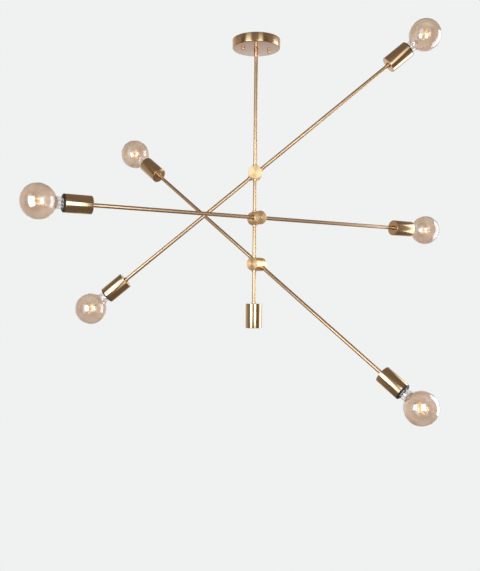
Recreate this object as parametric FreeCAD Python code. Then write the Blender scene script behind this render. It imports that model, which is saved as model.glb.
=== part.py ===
import FreeCAD, Part
import math
import os
from FreeCAD import Placement, Rotation, Vector

# A three-tier sputnik chandelier, in millimetres. The origin is the centre of the ceiling face, +Z is up,
# and everything hangs below it. +X is to the right and +Y away from the viewer of the front.

# ---- Driving dimensions: ceiling fixing ----
bar_length = 104.0
bar_width = 20.0
bar_thickness = 2.0
bar_corner = 3.0
bar_azimuth = 21.0  # degrees, how far the bar is turned from the front
box_screw_circle = 88.9
box_screw_hole = 4.5
stud_spacing = 70.0
stud_dia = 4.0
stud_nut_width = 7.0  # across flats
stud_nut_height = 3.2
stud_top_gap = 0.3  # below the ceiling face
cap_nut_dia = 9.0
cap_nut_height = 7.0
cap_nut_wall = 2.0  # over the end of its blind hole
ground_screw_reach = 20.0  # from the middle of the bar
ground_screw_head = 8.0
ground_screw_head_height = 2.4
block_reach = 13.0  # from the middle of the bar to the terminal block's near face
block_length = 14.0
block_width = 24.0
block_height = 10.0
block_hole_dia = 3.2
block_hole_depth = 6.0

# ---- Driving dimensions: canopy and stem ----
canopy_dia = 120.0
canopy_height = 22.0
canopy_wall = 1.2
canopy_edge = 2.5
canopy_ring_dia = 14.0
canopy_ring_height = 1.2
coupler_dia = 11.2
coupler_length = 18.0
coupler_end_dia = 10.2  # at its tapered lower end
coupler_taper = 2.5
coupler_gap = 1.0  # between the two ends inside it
nipple_rise = 9.0  # above the canopy's floor
nipple_nut_width = 14.0
nipple_nut_height = 4.0
tube_dia = 9.5
tube_wall = 1.0
top_hub_drop = 310.0  # canopy underside to the top hub's axis
hub_spacing = 115.5
finial_drop = 101.0  # bottom hub's axis to the finial's top
finial_nut_width = 13.0
finial_nut_height = 4.0
finial_base_thickness = 2.0
lock_ring_dia = 12.5
lock_ring_height = 4.5

# ---- Driving dimensions: hubs ----
hub_dia = 34.0
hub_half_length = 20.3
hub_axis_inset = 10.0  # a tube's axis from its half's outer face
hub_gap = 0.4  # between the two halves, filled by the friction washer
hub_edge = 0.5
tube_grip = 10.0  # thread length in a hub, from the hub's surface
pivot_dia = 10.0
pivot_bore = 6.5
pivot_grip = 6.1  # thread length in the stem half
pivot_flange_dia = 13.2
pivot_flange_height = 2.0
spring_washer_thickness = 0.5
pivot_wall = 3.3  # the arm half's wall that the pivot passes through
friction_washer_dia = 26.0
cap_thickness = 2.5
cap_spigot = 2.2
socket_dia = 5.0  # the mouth of the hex socket in the hub's cap
socket_width = 3.0  # across flats
socket_depth = 1.8

# ---- Driving dimensions: arms and lamps ----
lamp_reach = 550.0  # hub axis to the centre of the bulb's globe
mouth_gap = 56.0  # cup mouth to the centre of the globe
cup_dia = 42.0
cup_length = 62.0
cup_wall = 1.2
cup_back = 2.0
cup_edge = 0.8
holder_grip = 10.0  # thread length of a rod in the lampholder
holder_entry_dia = 16.0
holder_shoulder = 6.0
holder_rim_dia = 41.6
holder_rim_front_dia = 35.2
holder_rim_height = 3.5
holder_rim_band = 1.2  # the part of the rim before it tapers
holder_notch_count = 14
holder_notch_radius = 2.2
holder_floor = 5.0
holder_wall = 3.2
socket_bore = 27.4
contact_height = 1.6
terminal_thickness = 1.0
globe_dia = 80.0
glass_wall = 1.0
neck_dia = 26.8
neck_fillet = 10.0
bulb_cap_dia = 26.4
bulb_cap_wall = 0.4
bulb_length = 119.0
bulb_cap_rim = 52.5  # centre of the globe to the rim of the metal cap
bulb_thread_count = 5
filament_count = 4
filament_dia = 1.8
filament_length = 30.0
filament_circle = 15.0
filament_lean = 9.0  # degrees round the stem
lead_dia = 2.2

# ---- Clearances ----
thread_fit = 0.03  # radial, on every screwed joint
swivel_fit = 0.05  # radial, on screwed joints that turn and on the pivots
hole_clearance = 0.25  # radial, for a stud or tube that passes through a plain hole
lead_clearance = 0.25
holder_clearance = 0.6  # radial, lampholder body in its cup
press_gap = 0.02  # radial, pressed or cemented seats
tip_gap = 0.4  # socket contact to the bulb's tip, before the bulb is screwed down

# ---- Arms: name, azimuth of the arm (the arm half of its hub is on the far side), tilt of its +X end ----
arm_settings = (
    ("top", -1.0, 39.4, ("top_right", "top_left")),
    ("middle", 209.6, 0.5, ("middle_left", "middle_right")),
    ("bottom", -35.0, -36.5, ("bottom_right", "bottom_left")),
)

# ---- Derived sizes ----
tube_radius = tube_dia / 2
bore_radius = tube_radius - tube_wall
canopy_floor_z = -canopy_height + canopy_wall
coupler_top_z = -canopy_height - canopy_ring_height
coupler_bottom_z = coupler_top_z - coupler_length
stem_top_z = coupler_top_z - coupler_length / 2 - coupler_gap / 2
nipple_bottom_z = stem_top_z + coupler_gap
nipple_top_z = canopy_floor_z + nipple_rise
hub_radius = hub_dia / 2
hub_heights = [-canopy_height - top_hub_drop - i * hub_spacing for i in range(3)]
finial_top_z = hub_heights[-1] - finial_drop
arm_offset = 2 * (hub_half_length - hub_axis_inset) + hub_gap
hub_inner = hub_half_length - hub_axis_inset
seat_radius = math.sqrt(hub_radius**2 - (lock_ring_dia / 2 + hole_clearance) ** 2)
tube_end = hub_radius - tube_grip
pocket_dia = 2 * tube_end
cup_mouth = lamp_reach - mouth_gap
cup_rear = cup_mouth - cup_length
holder_rear = cup_rear + cup_back
rod_end = holder_rear + holder_grip
holder_front = cup_mouth + holder_rim_height
socket_floor = lamp_reach + globe_dia / 2 - bulb_length - contact_height - tip_gap
lead_row = bore_radius - lead_dia / 2 - lead_clearance
centre_line = Vector(0, 0, 0)
up = Vector(0, 0, 1)


def wire_of(start, *steps):
    """Join a closed outline of (radius, height) points; a step that is a pair of points is an arc."""
    edges = []
    here = start
    for step in steps + (start,):
        if isinstance(step[0], tuple):
            middle, there = step
            arc = Part.Arc(Vector(here[0], 0, here[1]), Vector(middle[0], 0, middle[1]), Vector(there[0], 0, there[1]))
            edges.append(arc.toShape())
        else:
            there = step
            if math.dist(here, there) > 1e-7:
                edges.append(Part.LineSegment(Vector(here[0], 0, here[1]), Vector(there[0], 0, there[1])).toShape())
        here = there
    return Part.Wire(edges)


def turned(start, *steps):
    """Turn a closed outline of (radius, height) points round the Z axis."""
    return Part.Face(wire_of(start, *steps)).revolve(centre_line, up, 360)


def rod(radius, low, high, at=(0.0, 0.0)):
    """A plain round bar along Z."""
    return Part.makeCylinder(radius, high - low, Vector(at[0], at[1], low))


def pipe(outer, inner, low, high):
    """A plain tube along Z."""
    return rod(outer, low, high).cut(rod(inner, low - 1, high + 1))


def block(x, y, z):
    """A box from three (low, high) pairs."""
    return Part.makeBox(x[1] - x[0], y[1] - y[0], z[1] - z[0], Vector(x[0], y[0], z[0]))


def hexagon(width, low, high):
    """A hexagonal bar along Z, its width measured across flats."""
    corner = width / math.sqrt(3)
    points = [Vector(corner * math.cos(math.radians(60 * i)), corner * math.sin(math.radians(60 * i)), low)
              for i in range(7)]
    return Part.Face(Part.makePolygon(points)).extrude(Vector(0, 0, high - low))


def bevelled(radius, low, high, edge):
    """A round bar along Z with both rims bevelled."""
    return turned((0, low), (radius - edge, low), (radius, low + edge), (radius, high - edge),
                  (radius - edge, high), (0, high))


def placed(shape, placement):
    """A copy of a shape, moved."""
    copy = shape.copy()
    copy.Placement = placement.multiply(copy.Placement)
    return copy


def turn(axis, degrees, at=(0, 0, 0)):
    """A placement that turns about an axis and then moves to a point."""
    return Placement(Vector(*at), Rotation(Vector(*axis), degrees))


bar_place = turn((0, 0, 1), bar_azimuth)


def hub_place(index):
    """The frame of a hub: X along its arm when level, Y along the hub towards the arm half."""
    return turn((0, 0, 1), arm_settings[index][1], (0, 0, hub_heights[index]))


def arm_place(index):
    """The frame of an arm: X along the rods, Y along the hub, at the crossing of the two."""
    tilt = turn((0, 1, 0), -arm_settings[index][2], (0, arm_offset, 0))
    return hub_place(index).multiply(tilt)


def lamp_place(index, side):
    """The frame of a lamp: Z outward along the rod from the hub's axis."""
    return arm_place(index).multiply(turn((0, 1, 0), 90 if side == 0 else -90))


# ---- Ceiling fixing ----
def make_crossbar():
    """The steel strap against the ceiling box, with two screw holes, two tapped stud holes and a ground hole."""
    bar = block((-bar_length / 2, bar_length / 2), (-bar_width / 2, bar_width / 2), (-bar_thickness, 0))
    bar = bar.makeFillet(bar_corner, [e for e in bar.Edges if abs(e.tangentAt(e.FirstParameter).z) > 0.9])
    cuts = []
    for side in (-1, 1):
        cuts.append(rod(box_screw_hole / 2, -bar_thickness - 1, 1, (side * box_screw_circle / 2, 0)))
        cuts.append(rod(stud_dia / 2 + thread_fit, -bar_thickness - 1, 1, (side * stud_spacing / 2, 0)))
    cuts.append(rod(stud_dia / 2 + thread_fit, -bar_thickness - 1, 1, (-ground_screw_reach, 0)))
    return [bar.cut(cuts)]


def make_crossbar_screws():
    """Two studs with their lock nuts, and the ground screw."""
    pieces = []
    stud_end = -canopy_height - cap_nut_height + cap_nut_wall + hole_clearance
    for side in (-1, 1):
        x = side * stud_spacing / 2
        pieces.append(rod(stud_dia / 2, stud_end, -stud_top_gap, (x, 0)))
        nut = hexagon(stud_nut_width, -bar_thickness - stud_nut_height, -bar_thickness)
        nut = nut.cut(rod(stud_dia / 2 + thread_fit, -canopy_height, 0))
        pieces.append(placed(nut, turn((0, 0, 1), 0, (x, 0, 0))))
    shank = rod(stud_dia / 2, -bar_thickness, -stud_top_gap, (-ground_screw_reach, 0))
    head_z = -bar_thickness - ground_screw_head_height
    head = rod(ground_screw_head / 2, head_z, -bar_thickness, (-ground_screw_reach, 0))
    groove = block((-ground_screw_reach - ground_screw_head, -ground_screw_reach + ground_screw_head),
                   (-stud_dia / 8, stud_dia / 8), (head_z - 1, head_z + ground_screw_head_height / 2))
    pieces.append(shank.fuse(head).cut(groove))
    return pieces


def make_canopy():
    """The spun brass cup against the ceiling, with a hole for the nipple and one for each stud."""
    outer = canopy_dia / 2
    inner = outer - canopy_wall
    bend = canopy_edge
    inner_bend = canopy_edge - canopy_wall
    lean = bend * (1 - math.sqrt(0.5))
    inner_lean = inner_bend * (1 - math.sqrt(0.5))
    cup = turned((0, -canopy_height), (outer - bend, -canopy_height),
                 ((outer - lean, -canopy_height + lean), (outer, -canopy_height + bend)),
                 (outer, 0), (inner, 0), (inner, -canopy_height + bend),
                 ((inner - inner_lean, canopy_floor_z + inner_lean), (outer - bend, canopy_floor_z)),
                 (0, canopy_floor_z))
    holes = [rod(tube_radius + hole_clearance, -canopy_height - 1, canopy_floor_z + 1)]
    for side in (-1, 1):
        holes.append(rod(stud_dia / 2 + hole_clearance, -canopy_height - 1, canopy_floor_z + 1,
                         (side * stud_spacing / 2, 0)))
    return [cup.cut(holes)]


def make_canopy_nuts():
    """The two domed cap nuts that hold the canopy up."""
    radius = cap_nut_dia / 2
    dome = radius / 2
    flank = cap_nut_height - dome
    drop = dome * (1 - math.sqrt(0.5))
    nut = turned((0, -cap_nut_height), (radius - dome, -cap_nut_height),
                 ((radius - drop, -cap_nut_height + drop), (radius, -flank)), (radius, 0), (0, 0))
    nut = nut.cut(rod(stud_dia / 2 + thread_fit, -cap_nut_height + cap_nut_wall, 1))
    return [placed(nut, turn((0, 0, 1), 0, (side * stud_spacing / 2, 0, -canopy_height))) for side in (-1, 1)]


def make_ceiling_nipple():
    """The threaded nipple through the canopy's floor, and its nut."""
    nipple = pipe(tube_radius, bore_radius, nipple_bottom_z, nipple_top_z)
    nut = hexagon(nipple_nut_width, canopy_floor_z, canopy_floor_z + nipple_nut_height)
    return [nipple, nut.cut(rod(tube_radius + thread_fit, -canopy_height, 0))]


def make_terminal_block():
    """The three-way terminal block under the crossbar."""
    top = -bar_thickness
    body = block((block_reach, block_reach + block_length), (-block_width / 2, block_width / 2),
                 (top - block_height, top))
    cuts = []
    for way in (-1, 0, 1):
        hole = Part.makeCylinder(block_hole_dia / 2, block_hole_depth,
                                 Vector(block_reach, way * lead_row, top - block_height / 2), Vector(1, 0, 0))
        cuts.append(hole)
    return body.cut(cuts)


def make_supply_leads():
    """Three leads from the terminal block down the nipple and the first tube to the top hub, and the block."""
    height = -bar_thickness - block_height / 2
    bend = block_reach / 4
    end = block_reach + block_hole_depth - 1
    pieces = [make_terminal_block()]
    for way in (-1, 0, 1):
        y = way * lead_row
        foot = Vector(0, y, hub_heights[0] + 1)
        knee = Vector(0, y, height - bend)
        corner = Vector(bend * (1 - math.sqrt(0.5)), y, height - bend * (1 - math.sqrt(0.5)))
        level = Vector(bend, y, height)
        path = Part.Wire([Part.LineSegment(foot, knee).toShape(), Part.Arc(knee, corner, level).toShape(),
                          Part.LineSegment(level, Vector(end, y, height)).toShape()])
        section = Part.Wire([Part.makeCircle(lead_dia / 2, foot, up)])
        pieces.append(path.makePipeShell([section], True, False))
    return pieces


# ---- Stem ----
def make_stem_coupler():
    """The round coupler that joins the nipple and the first tube."""
    outer = coupler_dia / 2
    body = turned((0, coupler_bottom_z), (coupler_end_dia / 2, coupler_bottom_z),
                  (outer, coupler_bottom_z + coupler_taper), (outer, coupler_top_z), (0, coupler_top_z))
    return [body.cut(rod(tube_radius + thread_fit, coupler_bottom_z - 1, coupler_top_z + 1))]


def tube_span(index):
    """Both ends of a stem tube: the nipple's coupler or a hub above, a hub or the finial below."""
    top = stem_top_z if index == 0 else hub_heights[index - 1] - tube_end
    bottom = hub_heights[index] + tube_end if index < 3 else finial_top_z - cup_back - finial_nut_height - 1
    return bottom, top


def make_stem_tube(index):
    """One threaded length of the stem."""
    bottom, top = tube_span(index)
    return [pipe(tube_radius, bore_radius, bottom, top)]


def lock_ring(low, fit=thread_fit):
    """A round lock ring on a tube."""
    ring = bevelled(lock_ring_dia / 2, low, low + lock_ring_height, hub_edge)
    return ring.cut(rod(tube_radius + fit, low - 1, low + lock_ring_height + 1))


def make_stem_rings(index):
    """The lock rings of one stem tube: at the canopy or the hub above it, and at the hub or finial below it."""
    if index == 0:
        ring = bevelled(canopy_ring_dia / 2, coupler_top_z, -canopy_height, hub_edge)
        upper = ring.cut(rod(tube_radius + thread_fit, coupler_top_z - 1, 0))
    else:
        upper = lock_ring(hub_heights[index - 1] - seat_radius - lock_ring_height)
    lower = lock_ring(hub_heights[index] + seat_radius if index < 3 else finial_top_z)
    return [upper, lower]


def cup_shell():
    """A brass cup along Z with its closed end at zero, used for the lamps and for the finial."""
    outer = cup_dia / 2
    cup = turned((0, 0), (outer - cup_edge, 0), (outer, cup_edge), (outer, cup_length),
                 (outer - cup_wall, cup_length), (outer - cup_wall, cup_back), (0, cup_back))
    return cup.cut(rod(tube_radius + hole_clearance, -1, cup_back + 1))


def make_finial():
    """The weight-like cup at the foot of the stem, with its base disc and the nut inside it."""
    down = turn((1, 0, 0), 180, (0, 0, finial_top_z))
    base = bevelled(cup_dia / 2 - cup_wall - press_gap, cup_length - finial_base_thickness, cup_length, cup_edge / 2)
    nut = hexagon(finial_nut_width, cup_back, cup_back + finial_nut_height)
    nut = nut.cut(rod(tube_radius + thread_fit, 0, cup_length))
    return [placed(piece, down) for piece in (cup_shell(), base, nut)]


def make_stem_leads(index):
    """Three leads down a stem tube, from hub to hub."""
    low = hub_heights[index] + 1
    high = hub_heights[index - 1] - 1
    return [rod(lead_dia / 2, low, high, (way * lead_row, 0)) for way in (-1, 0, 1)]


# ---- Hubs ----
def along_y(shape):
    """Lay a shape that was made along Z so that it runs along Y."""
    return placed(shape, turn((1, 0, 0), -90))


def ring_seat(fit):
    """The flat seat and the screwed bore that a hub has for one tube, along Z."""
    seat = rod(lock_ring_dia / 2 + hole_clearance, seat_radius, hub_radius + 1)
    return seat.fuse(rod(tube_radius + fit, tube_end - 1, hub_radius + 1))


def make_hub_stem_half():
    """The half of a hub on the stem: tubes from above and below, and the pivot's thread on its inner face."""
    body = along_y(bevelled(hub_radius, -hub_axis_inset, hub_inner, hub_edge))
    upper = ring_seat(swivel_fit)
    lower = placed(ring_seat(thread_fit), turn((1, 0, 0), 180))
    wiring = rod(bore_radius, -hub_radius, hub_radius)
    thread = along_y(rod(pivot_dia / 2 + thread_fit, hub_inner - pivot_grip - thread_fit, hub_inner + 1))
    passage = along_y(rod(pivot_bore / 2, 0, hub_inner))
    return [body.cut([upper, lower, wiring, thread, passage])]


def make_hub_arm_half():
    """The half of a hub on the arm: a rod from each side, a pocket for the pivot and a seat for the cap."""
    outer = hub_axis_inset - cap_thickness
    body = turned((0, -hub_inner), (hub_radius - hub_edge, -hub_inner), (hub_radius, -hub_inner + hub_edge),
                  (hub_radius, outer), (0, outer))
    cuts = [along_y(rod(pocket_dia / 2, -hub_inner + pivot_wall, outer + 1)),
            along_y(rod(pivot_dia / 2 + swivel_fit, -hub_inner - 1, 0))]
    for angle in (90, -90):
        cuts.append(placed(ring_seat(thread_fit), turn((0, 1, 0), angle)))
    return [along_y(body).cut(cuts)]


def make_hub_cap():
    """The cap screwed into the arm half, with a hex socket in the middle of its face."""
    face = hub_axis_inset
    seat = face - cap_thickness
    disc = turned((0, seat - cap_spigot), (pocket_dia / 2 - thread_fit, seat - cap_spigot),
                  (pocket_dia / 2 - thread_fit, seat), (hub_radius, seat), (hub_radius, face - hub_edge),
                  (hub_radius - hub_edge, face), (0, face))
    mouth = turned((0, face - socket_dia / 4), (socket_dia / 4, face - socket_dia / 4), (socket_dia / 2, face),
                   (0, face))
    key = hexagon(socket_width, face - socket_dia / 4 - socket_depth, face)
    return [along_y(disc.cut([mouth, key]))]


def make_tilt_pivot():
    """The hollow pivot bolt, its spring washer and the friction washer between the halves, in the hub's frame."""
    wall_far = arm_offset - hub_inner + pivot_wall
    flange = wall_far + spring_washer_thickness
    tip = hub_inner - pivot_grip
    bolt = turned((pivot_bore / 2, tip), (pivot_dia / 2, tip), (pivot_dia / 2, flange),
                  (pivot_flange_dia / 2, flange), (pivot_flange_dia / 2, flange + pivot_flange_height),
                  (pivot_bore / 2, flange + pivot_flange_height))
    spring = pipe(pivot_flange_dia / 2, pivot_dia / 2 + swivel_fit, wall_far, flange)
    friction = pipe(friction_washer_dia / 2, pivot_dia / 2 + swivel_fit, hub_inner, hub_inner + hub_gap)
    return [along_y(piece) for piece in (bolt, spring, friction)]


# ---- Arms, in the arm's frame, and lamps, outward along Z from the hub's axis ----
def both_sides(piece):
    """The two copies of a piece made along Z, one out along each rod."""
    return [placed(piece, turn((0, 1, 0), angle)) for angle in (90, -90)]


def make_arm_rods():
    """The two threaded rods of an arm."""
    return both_sides(pipe(tube_radius, bore_radius, tube_end, rod_end))


def make_arm_rings():
    """The four lock rings of an arm: one at the hub and one at the cup of each rod."""
    return both_sides(lock_ring(seat_radius)) + both_sides(lock_ring(cup_rear - lock_ring_height))


def make_cup():
    """The brass cup behind one lamp."""
    return [placed(cup_shell(), turn((0, 0, 1), 0, (0, 0, cup_rear)))]


def contact_at():
    """How far the outer contact stands from the socket's axis."""
    return socket_bore / 3


def make_lampholders():
    """The two lampholders of an arm, each with a notched rim in front of its cup."""
    body = cup_dia / 2 - cup_wall - holder_clearance
    entry = holder_entry_dia / 2
    rim = holder_rim_dia / 2
    chamber = body - holder_wall
    floor_back = socket_floor - holder_floor
    fit = tube_radius + thread_fit
    shoulder = rod_end + holder_shoulder
    shape = turned((0, floor_back), (0, socket_floor), (socket_bore / 2, socket_floor),
                   (socket_bore / 2, holder_front), (holder_rim_front_dia / 2, holder_front),
                   (rim, cup_mouth + holder_rim_band), (rim, cup_mouth), (body, cup_mouth),
                   (body, shoulder), (entry, rod_end), (entry, holder_rear),
                   (fit, holder_rear), (fit, rod_end + 1), (chamber, shoulder + 1), (chamber, floor_back))
    cuts = [rod(lead_dia / 2, floor_back - 1, socket_floor + 1),
            rod(lead_dia / 2, floor_back - 1, socket_floor + 1, (0, -contact_at()))]
    for i in range(holder_notch_count):
        angle = 2 * math.pi * i / holder_notch_count
        cuts.append(rod(holder_notch_radius, cup_mouth, holder_front + 1,
                        (rim * math.cos(angle), rim * math.sin(angle))))
    return both_sides(shape.cut(cuts))


def make_contacts():
    """The centre and outer contacts of one socket, riveted through its floor, in the lamp's frame."""
    floor_back = socket_floor - holder_floor
    back = floor_back - terminal_thickness
    shank = lead_dia / 2 - press_gap
    half = lead_dia * 0.9
    reach = contact_at()
    centre = rod(shank, back, socket_floor + contact_height)
    centre = centre.fuse([rod(4.0, socket_floor, socket_floor + contact_height),
                          block((-half, half), (-shank, lead_row + lead_dia / 2), (back, floor_back))])
    side = rod(shank, back, socket_floor + contact_height, (0, -reach))
    side = side.fuse([block((-half, half), (-reach - half, -reach + half), (socket_floor, socket_floor + contact_height)),
                      block((-half, half), (-reach - half, -lead_row + lead_dia / 3), (back, floor_back))])
    return [centre.removeSplitter(), side.removeSplitter()]


def make_arm_wiring():
    """Two leads from lamp to lamp through the rods, two tails through the pivot, and the sockets' contacts."""
    end = socket_floor - holder_floor - terminal_thickness
    lying = turn((0, 1, 0), 90)
    pieces = [placed(rod(lead_dia / 2, -end, end, (0, side * lead_row)), lying) for side in (-1, 1)]
    tail_start = -lead_row - lead_dia / 2 - 0.1
    tail_end = -arm_offset + bore_radius + 0.5
    for side in (-1, 1):
        tail = rod(lead_dia / 2, tail_end, tail_start, (side * pivot_bore / 4.5, 0))
        pieces.append(along_y(tail))
    for contact in make_contacts():
        pieces += both_sides(contact)
    return pieces


def globe_profile(shrink):
    """The bulb's outline from the neck's open end to the pole, moved inward by shrink."""
    radius = globe_dia / 2 - shrink
    neck = neck_dia / 2 - shrink
    fillet = neck_fillet + shrink
    reach = radius + fillet
    drop = -math.sqrt(reach**2 - (neck + fillet) ** 2)
    seat = bulb_cap_dia / 2 - bulb_cap_wall - press_gap - shrink
    touch = (radius * (neck + fillet) / reach, radius * drop / reach)
    angle_a = math.pi
    angle_b = math.atan2(touch[1] - drop, touch[0] - (neck + fillet))
    mean = (angle_a + angle_b) / 2
    middle = (neck + fillet + fillet * math.cos(mean), drop + fillet * math.sin(mean))
    rim = -bulb_cap_rim
    return [(seat, rim - 4), (seat, rim + 0.3), (neck, rim + 1.5), (neck, drop),
            (middle, touch), ((radius, 0), (0, radius))]


def make_bulb_glass():
    """The blown glass of a bulb: a globe and its neck, open at the metal cap."""
    outer = globe_profile(0)
    inner = globe_profile(glass_wall)
    solid = turned((0, outer[0][1]), *outer)
    hollow = turned((0, inner[0][1] - 1), (inner[0][0], inner[0][1] - 1), *inner)
    return [placed(solid.cut(hollow), turn((0, 0, 1), 0, (0, 0, lamp_reach)))]


def bulb_cap():
    """The metal screw cap of a bulb, with rounded threads, from its rim inward."""
    outer = bulb_cap_dia / 2
    inner = outer - bulb_cap_wall
    root = outer - bulb_cap_wall * 2
    low = -bulb_length + globe_dia / 2 + 6.0
    high = -bulb_cap_rim
    start = high - 4.0
    pitch = (start - low) / (bulb_thread_count + 1)
    steps = [(inner, high), (outer, high), (outer, start)]
    for i in range(bulb_thread_count):
        top = start - i * pitch
        steps.append(((root, top - pitch / 4), (outer - bulb_cap_wall, top - pitch / 2)))
        steps.append(((outer, top - pitch * 3 / 4), (outer - bulb_cap_wall, top - pitch)))
    steps += [(outer - 4.5, low), (outer - 4.5 - bulb_cap_wall, low), (root - 2 * bulb_cap_wall, low + pitch)]
    steps += [(root - 2 * bulb_cap_wall, start), (inner, start)]
    return turned(*steps)


def make_bulb_core():
    """The screw cap, its insulator and tip, the glass stem, and the filaments on their wires."""
    cap_low = -bulb_length + globe_dia / 2 + 6.0
    tip = -bulb_length + globe_dia / 2
    neck = bulb_cap_dia / 2 - 4.5 - bulb_cap_wall - press_gap
    insulator = turned((0, tip + 1), (4.0, tip + 1), (neck, cap_low), (neck, cap_low + 1.5), (0, cap_low + 1.5))
    contact = bevelled(4.0, tip, tip + 1, 0.3)
    base = -filament_length / 2
    top = filament_length / 2
    flare = bulb_cap_dia / 2 - bulb_cap_wall * 2 - glass_wall - press_gap * 2
    stem = turned((0, -bulb_cap_rim - 2), (flare, -bulb_cap_rim - 2), (flare, -bulb_cap_rim - 1),
                  ((flare * 0.45, -bulb_cap_rim + 4), (3.5, -bulb_cap_rim + 12)), (3.5, base - 4), (1.6, base - 2),
                  (1.6, top), (0, top))
    pieces = [bulb_cap(), insulator, contact, stem]
    ring = filament_circle / 2
    lean = math.radians(filament_lean)
    half = filament_length / 2
    for i in range(filament_count):
        angle = 360.0 / filament_count * i + 45.0
        stick = rod(filament_dia / 2, -half, half)
        stick = placed(stick, turn((1, 0, 0), math.degrees(lean), (ring, 0, 0)))
        shift = half * math.sin(lean)
        level = half * math.cos(lean)
        wires = []
        for end, z in ((-1, base - 2.4), (1, top - 1.0)):
            start = Vector(1.0, 0, z)
            target = Vector(ring, -end * shift, end * level)
            reach = target - start
            wires.append(Part.makeCylinder(0.3, reach.Length, start, reach))
        around = turn((0, 0, 1), angle)
        shape = stick.fuse(wires)
        pieces.append(placed(shape.cut(stem), around))
    return [placed(piece, turn((0, 0, 1), 0, (0, 0, lamp_reach))) for piece in pieces]


# ---- Writing the nodes ----
def save(name, pieces, placement):
    """Write one node with its pieces as separate solids."""
    solids = [solid for piece in pieces for solid in placed(piece, placement).Solids]
    shape = solids[0] if len(solids) == 1 else Part.makeCompound(solids)
    shape.exportStep(os.path.join("parts", name + ".step"))


def build_root():
    """The pieces that stay still: the ceiling fixing, the canopy and the first tube."""
    still = Placement()
    save("crossbar", make_crossbar(), bar_place)
    save("crossbar_screws", make_crossbar_screws(), bar_place)
    save("canopy", make_canopy(), bar_place)
    save("canopy_nuts", make_canopy_nuts(), bar_place)
    save("supply_leads", make_supply_leads(), bar_place)
    save("ceiling_nipple", make_ceiling_nipple(), bar_place)
    save("stem_coupler", make_stem_coupler(), still)
    save("stem_tube_1", make_stem_tube(0), still)
    save("stem_rings_1", make_stem_rings(0), still)


def build_tier(index):
    """One hub, the tube below it and its arm."""
    tier = arm_settings[index][0]
    save("hub_stem_half_" + tier, make_hub_stem_half(), hub_place(index))
    save("tilt_pivot_" + tier, make_tilt_pivot(), hub_place(index))
    level = turn((0, 0, 1), arm_settings[index][1])
    save("stem_tube_%d" % (index + 2), make_stem_tube(index + 1), level)
    save("stem_rings_%d" % (index + 2), make_stem_rings(index + 1), level)
    if index < 2:
        save("stem_leads_%d" % (index + 2), make_stem_leads(index + 1), level)
    else:
        save("finial", make_finial(), level)
    save("hub_arm_half_" + tier, make_hub_arm_half(), arm_place(index))
    save("hub_cap_" + tier, make_hub_cap(), arm_place(index))
    save("arm_rods_" + tier, make_arm_rods(), arm_place(index))
    save("arm_rings_" + tier, make_arm_rings(), arm_place(index))
    save("lampholders_" + tier, make_lampholders(), arm_place(index))
    save("arm_wiring_" + tier, make_arm_wiring(), arm_place(index))
    for side, lamp in enumerate(arm_settings[index][3]):
        save("cup_" + lamp, make_cup(), lamp_place(index, side))
        save("bulb_glass_" + lamp, make_bulb_glass(), lamp_place(index, side))
        save("bulb_core_" + lamp, make_bulb_core(), lamp_place(index, side))


def main():
    """Write every node to the parts folder."""
    os.makedirs("parts", exist_ok=True)
    build_root()
    for index in range(len(arm_settings)):
        build_tier(index)


main()
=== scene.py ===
"""The looks of a three-tier sputnik chandelier: six globe lamps on three tilted arms, on one screwed stem.

Sizes are millimetres in each piece's own frame, with Z as its turning axis, and become metres where a
piece is set into the object. The origin is the middle of the ceiling face and +Z is up.
"""

import logging
import math
from collections.abc import Callable, Iterable
from dataclasses import dataclass, field
from enum import Enum
from functools import cache

import bmesh
import bpy
from bmesh.types import BMesh, BMVert
from bpy.types import Material, Mesh, Node, NodeSocket, NodeTree, Object
from mathutils import Matrix, Vector


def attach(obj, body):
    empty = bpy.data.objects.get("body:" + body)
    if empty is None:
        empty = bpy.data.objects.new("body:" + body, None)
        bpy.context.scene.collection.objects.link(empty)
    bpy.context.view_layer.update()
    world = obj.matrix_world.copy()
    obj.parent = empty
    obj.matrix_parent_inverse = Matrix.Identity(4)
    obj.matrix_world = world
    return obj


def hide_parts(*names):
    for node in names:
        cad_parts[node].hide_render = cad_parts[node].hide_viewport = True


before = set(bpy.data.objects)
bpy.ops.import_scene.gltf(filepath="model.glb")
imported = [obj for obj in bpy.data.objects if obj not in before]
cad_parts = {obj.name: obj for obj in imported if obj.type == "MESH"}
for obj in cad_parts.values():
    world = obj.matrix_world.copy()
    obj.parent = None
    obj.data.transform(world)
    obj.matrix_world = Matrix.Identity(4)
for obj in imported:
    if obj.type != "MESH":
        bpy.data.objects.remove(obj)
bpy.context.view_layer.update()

MM = 0.001
PLACE_LAYER = "turning_place"
UV_LAYER = "turning"
CREASE = math.radians(38.0)
ORIGIN = Matrix.Identity(4)

Triple = tuple[float, float, float]
Colour = Triple
log = logging.getLogger("chandelier")

# The clearance between nested pieces, in millimetres, and the scale, detail and roughness of each noise.
SLACK = 0.02
FINE_LINES: Triple = (1.0, 4.0, 0.65)
BROAD_LINES: Triple = (0.18, 2.0, 0.5)
CLOUDS: Triple = (1.0, 5.0, 0.6)
RIPPLES: Triple = (0.05, 2.0, 0.4)
SPECKS: Triple = (9.0, 4.0, 0.6)


def moved(x: float = 0.0, y: float = 0.0, z: float = 0.0) -> Matrix:
    """Return a shift, in the units of its caller."""
    return Matrix.Translation((x, y, z))


def turned_about(axis: str, degrees: float) -> Matrix:
    """Return a right-handed turn about one of the axes X, Y and Z."""
    return Matrix.Rotation(math.radians(degrees), 4, axis)


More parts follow.
